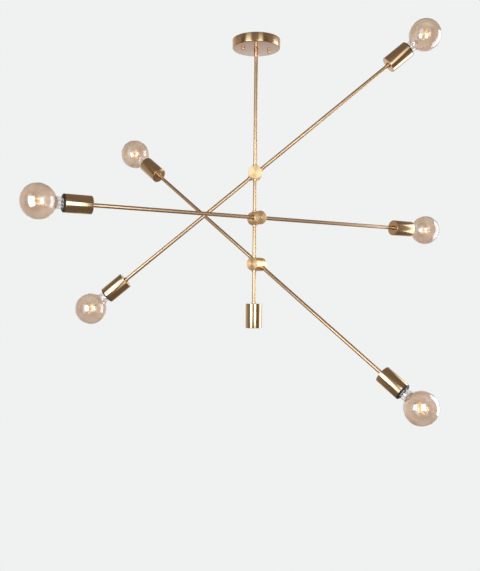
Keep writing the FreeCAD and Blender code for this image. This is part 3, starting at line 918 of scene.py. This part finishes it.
@dataclass
class Stem:
    """Four screwed tubes with their rings, leads and finial."""

    palette: Palette
    tube: Tube
    cup: Cup
    tiers: tuple[Tier, ...]
    fixing: CeilingFixing
    coupler_gap: float = 1.0
    finial_top: float = -664.0
    finial_nut: float = 4.0
    finial_nut_radius: float = 7.5
    tube_beyond: float = 1.0
    base_disc: float = 2.0

    def spans(self) -> list[tuple[float, float]]:
        """Return the lower and upper end of each tube."""
        lows = [tier.height + self.tube.hub_end for tier in self.tiers]
        lows.append(self.finial_top - self.cup.back - self.finial_nut - self.tube_beyond)
        highs = [self.fixing.neck_top() - self.fixing.coupler_length / 2.0 - self.coupler_gap / 2.0]
        highs += [tier.height - self.tube.hub_end for tier in self.tiers]
        return list(zip(lows, highs))

    def rings(self, index: int) -> Blank:
        """Turn the two rings of one tube.

        Args:
            index: the tube, from 0 at the top.

        Returns:
            The rings.
        """
        if index == 0:
            inner, top = self.tube.outer + self.tube.fit, -self.fixing.height
            upper = pipe(self.fixing.ring_radius, inner, self.fixing.neck_top(), top, 0.35, 64)
        else:
            upper = self.tube.ring(self.tiers[index - 1].height - self.tube.seat - self.tube.ring_height)
        last = index == len(self.tiers)
        lower = self.tube.ring(self.finial_top if last else self.tiers[index].height + self.tube.seat)
        return Blank().add(upper, self.palette.small_brass).add(lower, self.palette.small_brass)

    def finial(self) -> None:
        """Turn the cup at the foot, its base disc and the nut that holds it."""
        foot = self.cup.length
        top, reach = foot - self.base_disc, self.cup.radius - self.cup.wall - SLACK
        disc = Outline(0.0, top).line((reach, top, 0.3, 2), (reach, foot, 0.4, 3), (0.0, foot))
        nut = bmesh.new()
        bmesh.ops.create_cone(nut, cap_ends=True, segments=6, radius1=self.finial_nut_radius,
                              radius2=self.finial_nut_radius, depth=self.finial_nut,
                              matrix=moved(z=self.cup.back + self.finial_nut / 2.0))
        blank = Blank().add(self.cup.shell(), self.palette.cup_brass)
        blank.add(disc.turn(96), self.palette.cup_brass).add(nut, self.palette.small_brass)
        down = moved(z=self.finial_top) @ turned_about("X", 180.0)
        blank.set_in("finial_cup", "bottom_swivel", down, "satin_brass", "finial")

    def build(self) -> None:
        """Make every part of the stem."""
        bodies = ["ceiling_kit"] + [tier.name + "_swivel" for tier in self.tiers]
        for index, (body, (low, high)) in enumerate(zip(bodies, self.spans())):
            number = str(index + 1)
            tube = Blank().add(self.tube.length(low, high), self.palette.drawn_brass)
            for blank, name, node in ((tube, "stem_length_", "stem_tube_"),
                                      (self.rings(index), "stem_lock_rings_", "stem_rings_")):
                blank.set_in(name + number, body, ORIGIN, "turned_brass", node + number)
        sheath = self.palette.sheath_finish.dress(PlaceInFrame("_stem", ORIGIN))
        for node in ("stem_leads_2", "stem_leads_3"):
            dress_node(node, sheath)
        self.finial()


@dataclass
class Lampholder:
    """The black holder inside a cup, along a lamp's Z, with its castellated rim in front of the cup."""

    palette: Palette
    rear: float = 434.0
    rod_end: float = 444.0
    shoulder: float = 450.0
    floor_back: float = 464.0
    floor_front: float = 469.0
    mouth: float = 494.0
    front: float = 497.5
    body_radius: float = 19.2
    entry_radius: float = 8.0
    fit_radius: float = 4.78
    chamber_radius: float = 16.0
    bore_radius: float = 13.7
    rim_radius: float = 20.8
    rim_front_radius: float = 17.6
    rim_band: float = 1.2
    notches: int = 14
    notch_radius: float = 2.2
    notch_reach: float = 2.5
    notch_facets: int = 16

    def body(self) -> BMesh:
        """Turn the holder and press the notches into its rim."""
        section = Outline(0.0, self.floor_back).line(
            (self.chamber_radius, self.floor_back), (self.chamber_radius, self.shoulder + 1.0),
            (self.fit_radius, self.rod_end + 1.0), (self.fit_radius, self.rear),
            (self.entry_radius, self.rear, 0.4, 2), (self.entry_radius, self.rod_end),
            (self.body_radius, self.shoulder), (self.body_radius, self.mouth),
            (self.rim_radius, self.mouth, 0.4, 2), (self.rim_radius, self.mouth + self.rim_band, 0.5, 3),
            (self.rim_front_radius, self.front, 0.8, 4), (self.bore_radius, self.front, 0.5, 3),
            (self.bore_radius, self.floor_front), (0.0, self.floor_front))
        holder = section.turn(self.notches * self.notch_facets)
        reshape(holder, self.notched)
        return holder

    def notched(self, radius: float, angle: float, height: float) -> float:
        """Return the radius of the rim once its notches are pressed in.

        Args:
            radius: the turned radius.
            angle: angle round the axis, in radians.
            height: height along the axis.

        Returns:
            The new radius.
        """
        off = abs(math.remainder(angle, math.tau / self.notches)) * self.rim_radius
        outside = height < self.mouth - 0.01 or radius < self.rim_front_radius - self.notch_reach
        if outside or off >= self.notch_radius:
            return radius
        return min(radius, self.rim_radius - math.sqrt(self.notch_radius**2 - off**2))


@dataclass
class Lamp:
    """One globe bulb, with the middle of its globe at the origin and Z outwards."""

    palette: Palette
    reach: float = 550.0
    radius: float = 40.0
    wall: float = 1.0
    neck: float = 13.4
    fillet: float = 10.0
    cap_radius: float = 13.2
    cap_wall: float = 0.4
    cap_rim: float = -52.5
    cap_low: float = -73.0
    cap_foot: float = 4.5
    cap_hole: float = 4.9
    tip: float = -79.0
    tip_radius: float = 4.0
    tip_height: float = 1.0
    thread_pitch: float = 3.3
    thread_depth: float = 0.4
    thread_wall: float = 1.2
    thread_rings: int = 30
    filament_count: int = 4
    filament_radius: float = 0.9
    filament_length: float = 30.0
    filament_circle: float = 7.5
    filament_lean: float = 9.0
    filament_tail: float = 1.6
    sleeve_share: float = 0.6
    sleeve_overlap: float = 0.2
    wire_radius: float = 0.28
    wire_root: float = 0.6
    wire_drops: tuple[tuple[float, float], ...] = ((-1.0, 2.4), (1.0, 1.0))

    def skin(self, outline: Outline, shrink: float, inward: bool) -> None:
        """Draw one skin of the globe between its pole and its neck.

        Args:
            outline: the half section being drawn; its pen is at the start of the skin.
            shrink: how far inside the outer skin this one lies.
            inward: true to draw from the pole to the neck, false from the neck to the pole.
        """
        globe, neck, fillet = self.radius - shrink, self.neck - shrink, self.fillet + shrink
        drop = -math.sqrt((globe + fillet) ** 2 - (neck + fillet) ** 2)
        bend = math.degrees(math.acos((neck + fillet) / (globe + fillet)))
        if inward:
            outline.arc(0.0, 0.0, -(90.0 + bend), 44).arc(neck + fillet, drop, bend, 10)
        else:
            outline.line((neck, drop)).arc(neck + fillet, drop, -bend, 10).arc(0.0, 0.0, 90.0 + bend, 44)

    def globe(self) -> BMesh:
        """Blow the globe and its neck as one closed shell with both skins."""
        seat, rim = self.cap_radius - self.cap_wall - SLACK, self.cap_rim
        bore = seat - self.wall
        outline = Outline(0.0, self.radius)
        self.skin(outline, 0.0, inward=True)
        outline.line((self.neck, rim + 1.5), (seat, rim + 0.3, 0.3, 2), (seat, rim - 4.0), (bore, rim - 4.0),
                     (bore, rim + 0.3), (self.neck - self.wall, rim + 1.5))
        self.skin(outline, self.wall, inward=False)
        return outline.turn(96)

    def screw_cap(self) -> BMesh:
        """Turn the metal cap and roll its thread, which climbs round the axis."""
        radius, inner, rings = self.cap_radius, self.cap_radius - self.cap_wall, self.thread_rings
        top, low, bore = self.cap_rim - 3.0, self.cap_low + 2.0, inner - self.thread_wall
        outline = Outline(inner, self.cap_rim).line((radius, self.cap_rim, 0.15, 2))
        outline.line(*((radius, top + (low - top) * ring / rings) for ring in range(rings + 1)))
        outline.line((radius - self.cap_foot, self.cap_low), (radius - self.cap_hole, self.cap_low),
                     (bore, low + 1.0), (bore, top), (inner, top + 0.5))
        cap = outline.close().turn(60)

        def thread(radius: float, angle: float, height: float) -> float:
            """Return the radius on the rolled thread."""
            if radius < self.cap_radius - 0.2 or height > top + 0.01 or height < low - 0.01:
                return radius
            fade = min(1.0, (top - height) / 2.0, (height - low) / 1.5 + 0.2)
            wave = math.cos(math.tau * ((height - low) / self.thread_pitch - angle / math.tau))
            return radius - self.thread_depth * max(0.0, fade) * (1.0 - wave)

        reshape(cap, thread)
        return cap

    def mount(self) -> BMesh:
        """Turn the flared glass mount, hollow up to its pinch, that carries the wires."""
        flare = self.cap_radius - self.cap_wall * 2.0 - self.wall - 2.0 * SLACK
        rim, base = self.cap_rim, -self.filament_length / 2.0
        outline = Outline(0.0, base - 9.0).line(
            (2.2, base - 9.0, 0.8, 3), (3.2, rim + 11.0, 2.0, 4), (flare * 0.6, rim + 4.0, 2.0, 5),
            (flare - 0.9, rim - 1.0), (flare, rim - 1.0, 0.2, 2), (flare * 0.6 + 1.0, rim + 4.6, 2.0, 5),
            (4.1, rim + 11.5, 2.5, 5), (3.1, base - 5.0, 1.0, 4), (1.5, base - 2.0, 1.0, 3),
            (1.5, -base - 1.0, 0.8, 3), (0.0, -base))
        return outline.turn(40)

    def plug(self) -> BMesh:
        """Turn the white plug that holds the driver in the cap, seen through the neck."""
        reach = self.cap_radius - self.cap_wall * 2.0 - self.wall - 0.3
        low, top = self.cap_rim - 7.0, self.cap_rim - 1.6
        outline = Outline(0.0, low).line((reach, low, 0.4, 2), (reach, top, 0.8, 3),
                                         (reach * 0.45, top + 1.2, 1.2, 4), (0.0, top + 1.2))
        return outline.turn(40)

    def filaments(self, blank: Blank) -> None:
        """Stand the filaments round the mount on their wires.

        Args:
            blank: the bulb's inner piece, which takes them.
        """
        half, thick = self.filament_length / 2.0, self.filament_radius
        body, lean = half - self.filament_tail, math.radians(self.filament_lean)
        nickel = self.palette.nickel
        for index in range(self.filament_count):
            around = turned_about("Z", 360.0 / self.filament_count * index + 45.0)
            stand = around @ moved(self.filament_circle) @ turned_about("X", self.filament_lean)
            stick = Outline(0.0, -body).line((thick, -body, 0.3, 2), (thick, body, 0.3, 2), (0.0, body))
            blank.add(stick.turn(16), self.palette.phosphor_painted_glow, stand)
            for end, drop in self.wire_drops:
                sleeve = straight_bar(thick * self.sleeve_share, Vector((0.0, 0.0, end * half)),
                                      Vector((0.0, 0.0, end * (body - self.sleeve_overlap))), 10)
                reach = end * half
                tip = Vector((self.filament_circle, -reach * math.sin(lean), reach * math.cos(lean)))
                wire = straight_bar(self.wire_radius, Vector((self.wire_root, 0.0, reach - drop)), tip, 8)
                blank.add(sleeve, nickel, stand).add(wire, nickel, around)

    def core(self) -> Blank:
        """Assemble the cap, its insulator and tip, the mount and the filaments."""
        neck, low = self.cap_radius - self.cap_hole - SLACK, self.cap_low
        wide, foot = self.tip_radius, self.tip + self.tip_height
        insulator = Outline(0.0, foot).line((wide, foot, 0.3, 2), (neck, low), (neck, low + 1.5),
                                            (0.0, low + 1.5)).turn(40)
        contact = Outline(0.0, self.tip).line((wide, self.tip, 0.6, 4), (wide, foot), (0.0, foot)).turn(32)
        palette, blank = self.palette, Blank()
        for part, finish in ((self.screw_cap(), palette.nickel), (insulator, palette.black_glass),
                             (contact, palette.nickel), (self.mount(), palette.clear_glass),
                             (self.plug(), palette.ceramic)):
            blank.add(part, finish)
        self.filaments(blank)
        return blank


@dataclass
class Hub:
    """The two halves of a hub, its cap and its pivot."""

    palette: Palette
    tier: Tier

    def build(self) -> None:
        """Dress the halves, each in its own frame, so that the brushing runs round the hub."""
        lying, name = turned_about("X", -90.0), self.tier.name
        stem_side = PlaceInFrame("_stem_" + name, self.tier.hub() @ lying)
        arm_side = PlaceInFrame("_arm_" + name, self.tier.arm() @ lying)
        dress_node("hub_stem_half_" + name, self.palette.hub_finish_painted_highlight.dress(stem_side))
        brass = self.palette.hub_finish_painted_highlight.dress(arm_side)
        dress_node("hub_arm_half_" + name, brass)
        dress_node("hub_cap_" + name, brass)
        dress_node("tilt_pivot_" + name, self.palette.steel_finish.dress(stem_side))


@dataclass
class Arm:
    """One arm: two rods with their rings, two lampholders in cups, and two lamps."""

    palette: Palette
    tube: Tube
    cup: Cup
    tier: Tier
    holder: Lampholder

    def build(self) -> None:
        """Make the arm's own parts."""
        name, place = self.tier.name, self.tier.arm()
        rods, rings, holders = Blank(), Blank(), Blank()
        cup_ring = self.holder.mouth - self.cup.length - self.tube.ring_height
        for side in Side:
            out = turned_about("Y", side.value)
            rods.add(self.tube.length(self.tube.hub_end, self.holder.rod_end), self.palette.drawn_brass, out)
            for low in (self.tube.seat, cup_ring):
                rings.add(self.tube.ring(low), self.palette.small_brass, out)
            holders.add(self.holder.body(), self.palette.resin, out)
        for blank, piece, slot, node in ((rods, "rods_", "turned_brass", "arm_rods_"),
                                         (rings, "rod_lock_rings_", "turned_brass", "arm_rings_"),
                                         (holders, "holders_", "black_phenolic", "lampholders_")):
            blank.set_in(piece + name, name + "_arm", place, slot, node + name)
        sheath = self.palette.sheath_finish.dress(PlaceInFrame("_wiring_" + name, place))
        dress_node("arm_wiring_" + name, sheath)


@dataclass
class Chandelier:
    """The whole light."""

    palette: Palette
    tube: Tube = field(default_factory=Tube)
    cup: Cup = field(default_factory=Cup)
    tiers: tuple[Tier, ...] = (
        Tier("top", -1.0, 39.4, -332.0, "top_right", "top_left"),
        Tier("middle", 209.6, 0.5, -447.5, "middle_left", "middle_right"),
        Tier("bottom", -35.0, -36.5, -563.0, "bottom_right", "bottom_left"),
    )

    def build_lamps(self, holder: Lampholder) -> None:
        """Make the six cups and bulbs from one set of blanks.

        Args:
            holder: the lampholder, which gives the cup's mouth.
        """
        lamp = Lamp(self.palette)
        cup = Blank().add(self.cup.shell(), self.palette.cup_brass)
        globe, core = Blank().add(lamp.globe(), self.palette.amber), lamp.core()
        for tier in self.tiers:
            for side, name in ((Side.RIGHT, tier.right_lamp), (Side.LEFT, tier.left_lamp)):
                back = tier.lamp(side) @ moved(z=holder.mouth - self.cup.length)
                middle = tier.lamp(side) @ moved(z=lamp.reach)
                cup.set_in("lamp_cup_" + name, tier.name + "_arm", back, "satin_brass", "cup_" + name)
                globe.set_in("globe_" + name, "bulb_" + name, middle, "amber_glass", "bulb_glass_" + name)
                core.set_in("filament_core_" + name, "bulb_" + name, middle, "bulb_core", "bulb_core_" + name)

    def build(self) -> None:
        """Make the light from the ceiling down."""
        fixing, holder = CeilingFixing(self.palette, self.tube), Lampholder(self.palette)
        fixing.build()
        Stem(self.palette, self.tube, self.cup, self.tiers, fixing).build()
        for tier in self.tiers:
            Hub(self.palette, tier).build()
            Arm(self.palette, self.tube, self.cup, tier, holder).build()
        self.build_lamps(holder)


# ---------------------------------------------------------------- the studio
@dataclass(frozen=True)
class Viewpoint:
    """The camera, from the photograph's perspective."""

    place: Triple = (0.0, -1.85532, -0.63802)
    pan: float = -1.556
    rise: float = -1.848
    roll: float = 0.498
    focal_pixels: float = 727.33
    centre: tuple[float, float] = (234.0, 316.78)
    picture: tuple[int, int] = (480, 571)
    sensor: float = 36.0

    def build(self) -> None:
        """Make the camera and look through it."""
        width, height = self.picture
        data = bpy.data.cameras.new("camera")
        data.sensor_fit = "VERTICAL"
        data.sensor_height = self.sensor
        data.lens = self.focal_pixels / height * self.sensor
        data.shift_x = (width / 2.0 - self.centre[0]) / height
        data.shift_y = (self.centre[1] - height / 2.0) / height
        camera = bpy.data.objects.new("camera", data)
        level = turned_about("Z", -self.pan) @ turned_about("X", 90.0 + self.rise)
        camera.matrix_world = moved(*self.place) @ level @ turned_about("Z", self.roll)
        bpy.context.scene.collection.objects.link(camera)
        bpy.context.scene.camera = camera


@dataclass(frozen=True)
class SoftBox:
    """One soft light."""

    name: str
    place: Triple
    width: float
    height: float
    power: float
    aim: Triple = (0.0, 0.0, -0.45)
    colour: Colour = (0.88, 0.98, 1.16)
    through_glass: bool = True

    def build(self) -> None:
        """Hang the light and point it."""
        data = bpy.data.lights.new(self.name, "AREA")
        data.shape = "RECTANGLE"
        data.size = self.width
        data.size_y = self.height
        data.energy = self.power
        data.color = self.colour
        light = bpy.data.objects.new(self.name, data)
        towards = Vector(self.aim) - Vector(self.place)
        light.matrix_world = moved(*self.place) @ towards.to_track_quat("-Z", "Y").to_matrix().to_4x4()
        light.visible_camera = False
        light.visible_transmission = self.through_glass
        bpy.context.scene.collection.objects.link(light)


@dataclass
class Studio:
    """A pale seamless room with soft boxes."""

    background: Colour = (0.871, 0.879, 0.879)
    floor_height: float = -2.45
    floor_radius: float = 2.7
    floor_solid: float = 0.8
    fill_levels: tuple[float, float] = (0.20, 0.26)
    wall_band: tuple[float, float] = (0.15, 0.75)
    tint_levels: tuple[float, float] = (0.5, 1.4)
    tints: tuple[Colour, Colour] = ((1.0, 0.86, 0.74), (0.92, 1.0, 1.08))
    walls: tuple[tuple[float, float], ...] = (
        (0.00, 0.90), (0.14, 0.85), (0.18, 0.55), (0.27, 0.50), (0.30, 0.16), (0.35, 0.18), (0.365, 2.20),
        (0.42, 2.20), (0.435, 0.30), (0.50, 0.40), (0.525, 0.40), (0.54, 1.90), (0.575, 1.90), (0.59, 0.20),
        (0.63, 0.14), (0.66, 0.30), (0.72, 0.45), (0.78, 0.50), (0.86, 0.75), (1.00, 0.90),
    )
    boxes: tuple[SoftBox, ...] = (
        SoftBox("box_left", (-0.745, -1.02, -0.56), 0.60, 0.90, 7.8),
        SoftBox("box_right", (0.36, -1.22, -0.56), 0.56, 0.86, 6.8),
        SoftBox("panel_right", (1.80, 0.55, -0.45), 1.2, 2.2, 26.0, through_glass=False),
    )

    def sky(self) -> None:
        """Light the room: pale where it is looked at, dimmer and uneven where metal mirrors it."""
        world = bpy.data.worlds.new("studio")
        world.use_nodes = True
        world.cycles.sampling_method = "NONE"
        bpy.context.scene.world = world
        wiring = Wiring(world.node_tree)
        across, ahead, height = wiring.separate(wiring.node("TexCoord").outputs["Generated"])
        bearing = wiring.maths("ARCTAN2", across, wiring.maths("MULTIPLY", ahead, -1.0))
        turn = wiring.maths("ADD", wiring.maths("DIVIDE", bearing, math.tau), 0.5)
        walls = wiring.levels(turn, self.walls)
        share = wiring.spread(wiring.maths("ABSOLUTE", height), *self.wall_band, 1.0, 0.0, smooth=True)
        fill = wiring.spread(height, -1.0, 1.0, *self.fill_levels, smooth=True)
        apart = wiring.maths("MULTIPLY", wiring.maths("SUBTRACT", walls, fill), share)
        lit = wiring.maths("ADD", fill, apart)
        tint = wiring.mix(wiring.spread(lit, *self.tint_levels, 0.0, 1.0), *self.tints)
        mirrored, seen = wiring.node("Background"), wiring.node("Background")
        wiring.fill(mirrored, {"Color": tint, "Strength": lit})
        seen.inputs["Color"].default_value = (*self.background, 1.0)
        path = wiring.node("LightPath")
        through = wiring.maths("MAXIMUM", path.outputs["Is Camera Ray"], path.outputs["Is Transmission Ray"])
        direct = wiring.maths("MAXIMUM", through, path.outputs["Is Diffuse Ray"])
        both = wiring.node("MixShader")
        wiring.feed(both.inputs, (direct, mirrored.outputs[0], seen.outputs[0]))
        wiring.link(both.outputs[0], wiring.node("OutputWorld").inputs["Surface"])

    def floor(self) -> None:
        """Lay a pale floor that fades into the room."""
        mesh = bmesh.new()
        bmesh.ops.create_circle(mesh, cap_ends=True, segments=96, radius=self.floor_radius,
                                matrix=moved(z=self.floor_height))
        data = bpy.data.meshes.new("floor")
        mesh.to_mesh(data)
        mesh.free()
        material, wiring, shader = started("pale_floor")
        spot = wiring.node("TexCoord").outputs["Object"]
        away = wiring.vectors("LENGTH", wiring.vectors("MULTIPLY", spot, (1.0, 1.0, 0.0)))
        fade = wiring.spread(away, self.floor_solid, self.floor_radius - 0.1, 1.0, 0.0, smooth=True)
        grain = wiring.noise(spot, *SPECKS)
        wiring.fill(shader, {"Base Color": wiring.mix(grain, (0.80, 0.80, 0.80), (0.86, 0.86, 0.86)),
                             "Alpha": fade, "Roughness": 0.9})
        data.materials.append(material)
        floor = bpy.data.objects.new("floor", data)
        bpy.context.scene.collection.objects.link(floor)
        floor.visible_glossy = False

    def build(self) -> None:
        """Set up the room, its lights and the camera."""
        self.sky()
        self.floor()
        for box in self.boxes:
            box.build()
        Viewpoint().build()
        settings = bpy.context.scene.view_settings
        settings.view_transform = "Standard"
        settings.look = "None"


def main() -> None:
    """Build the room and the light."""
    logging.basicConfig(level=logging.INFO, format="%(name)s: %(message)s")
    Studio().build()
    Chandelier(Palette()).build()


if __name__ == "__main__":
    main()
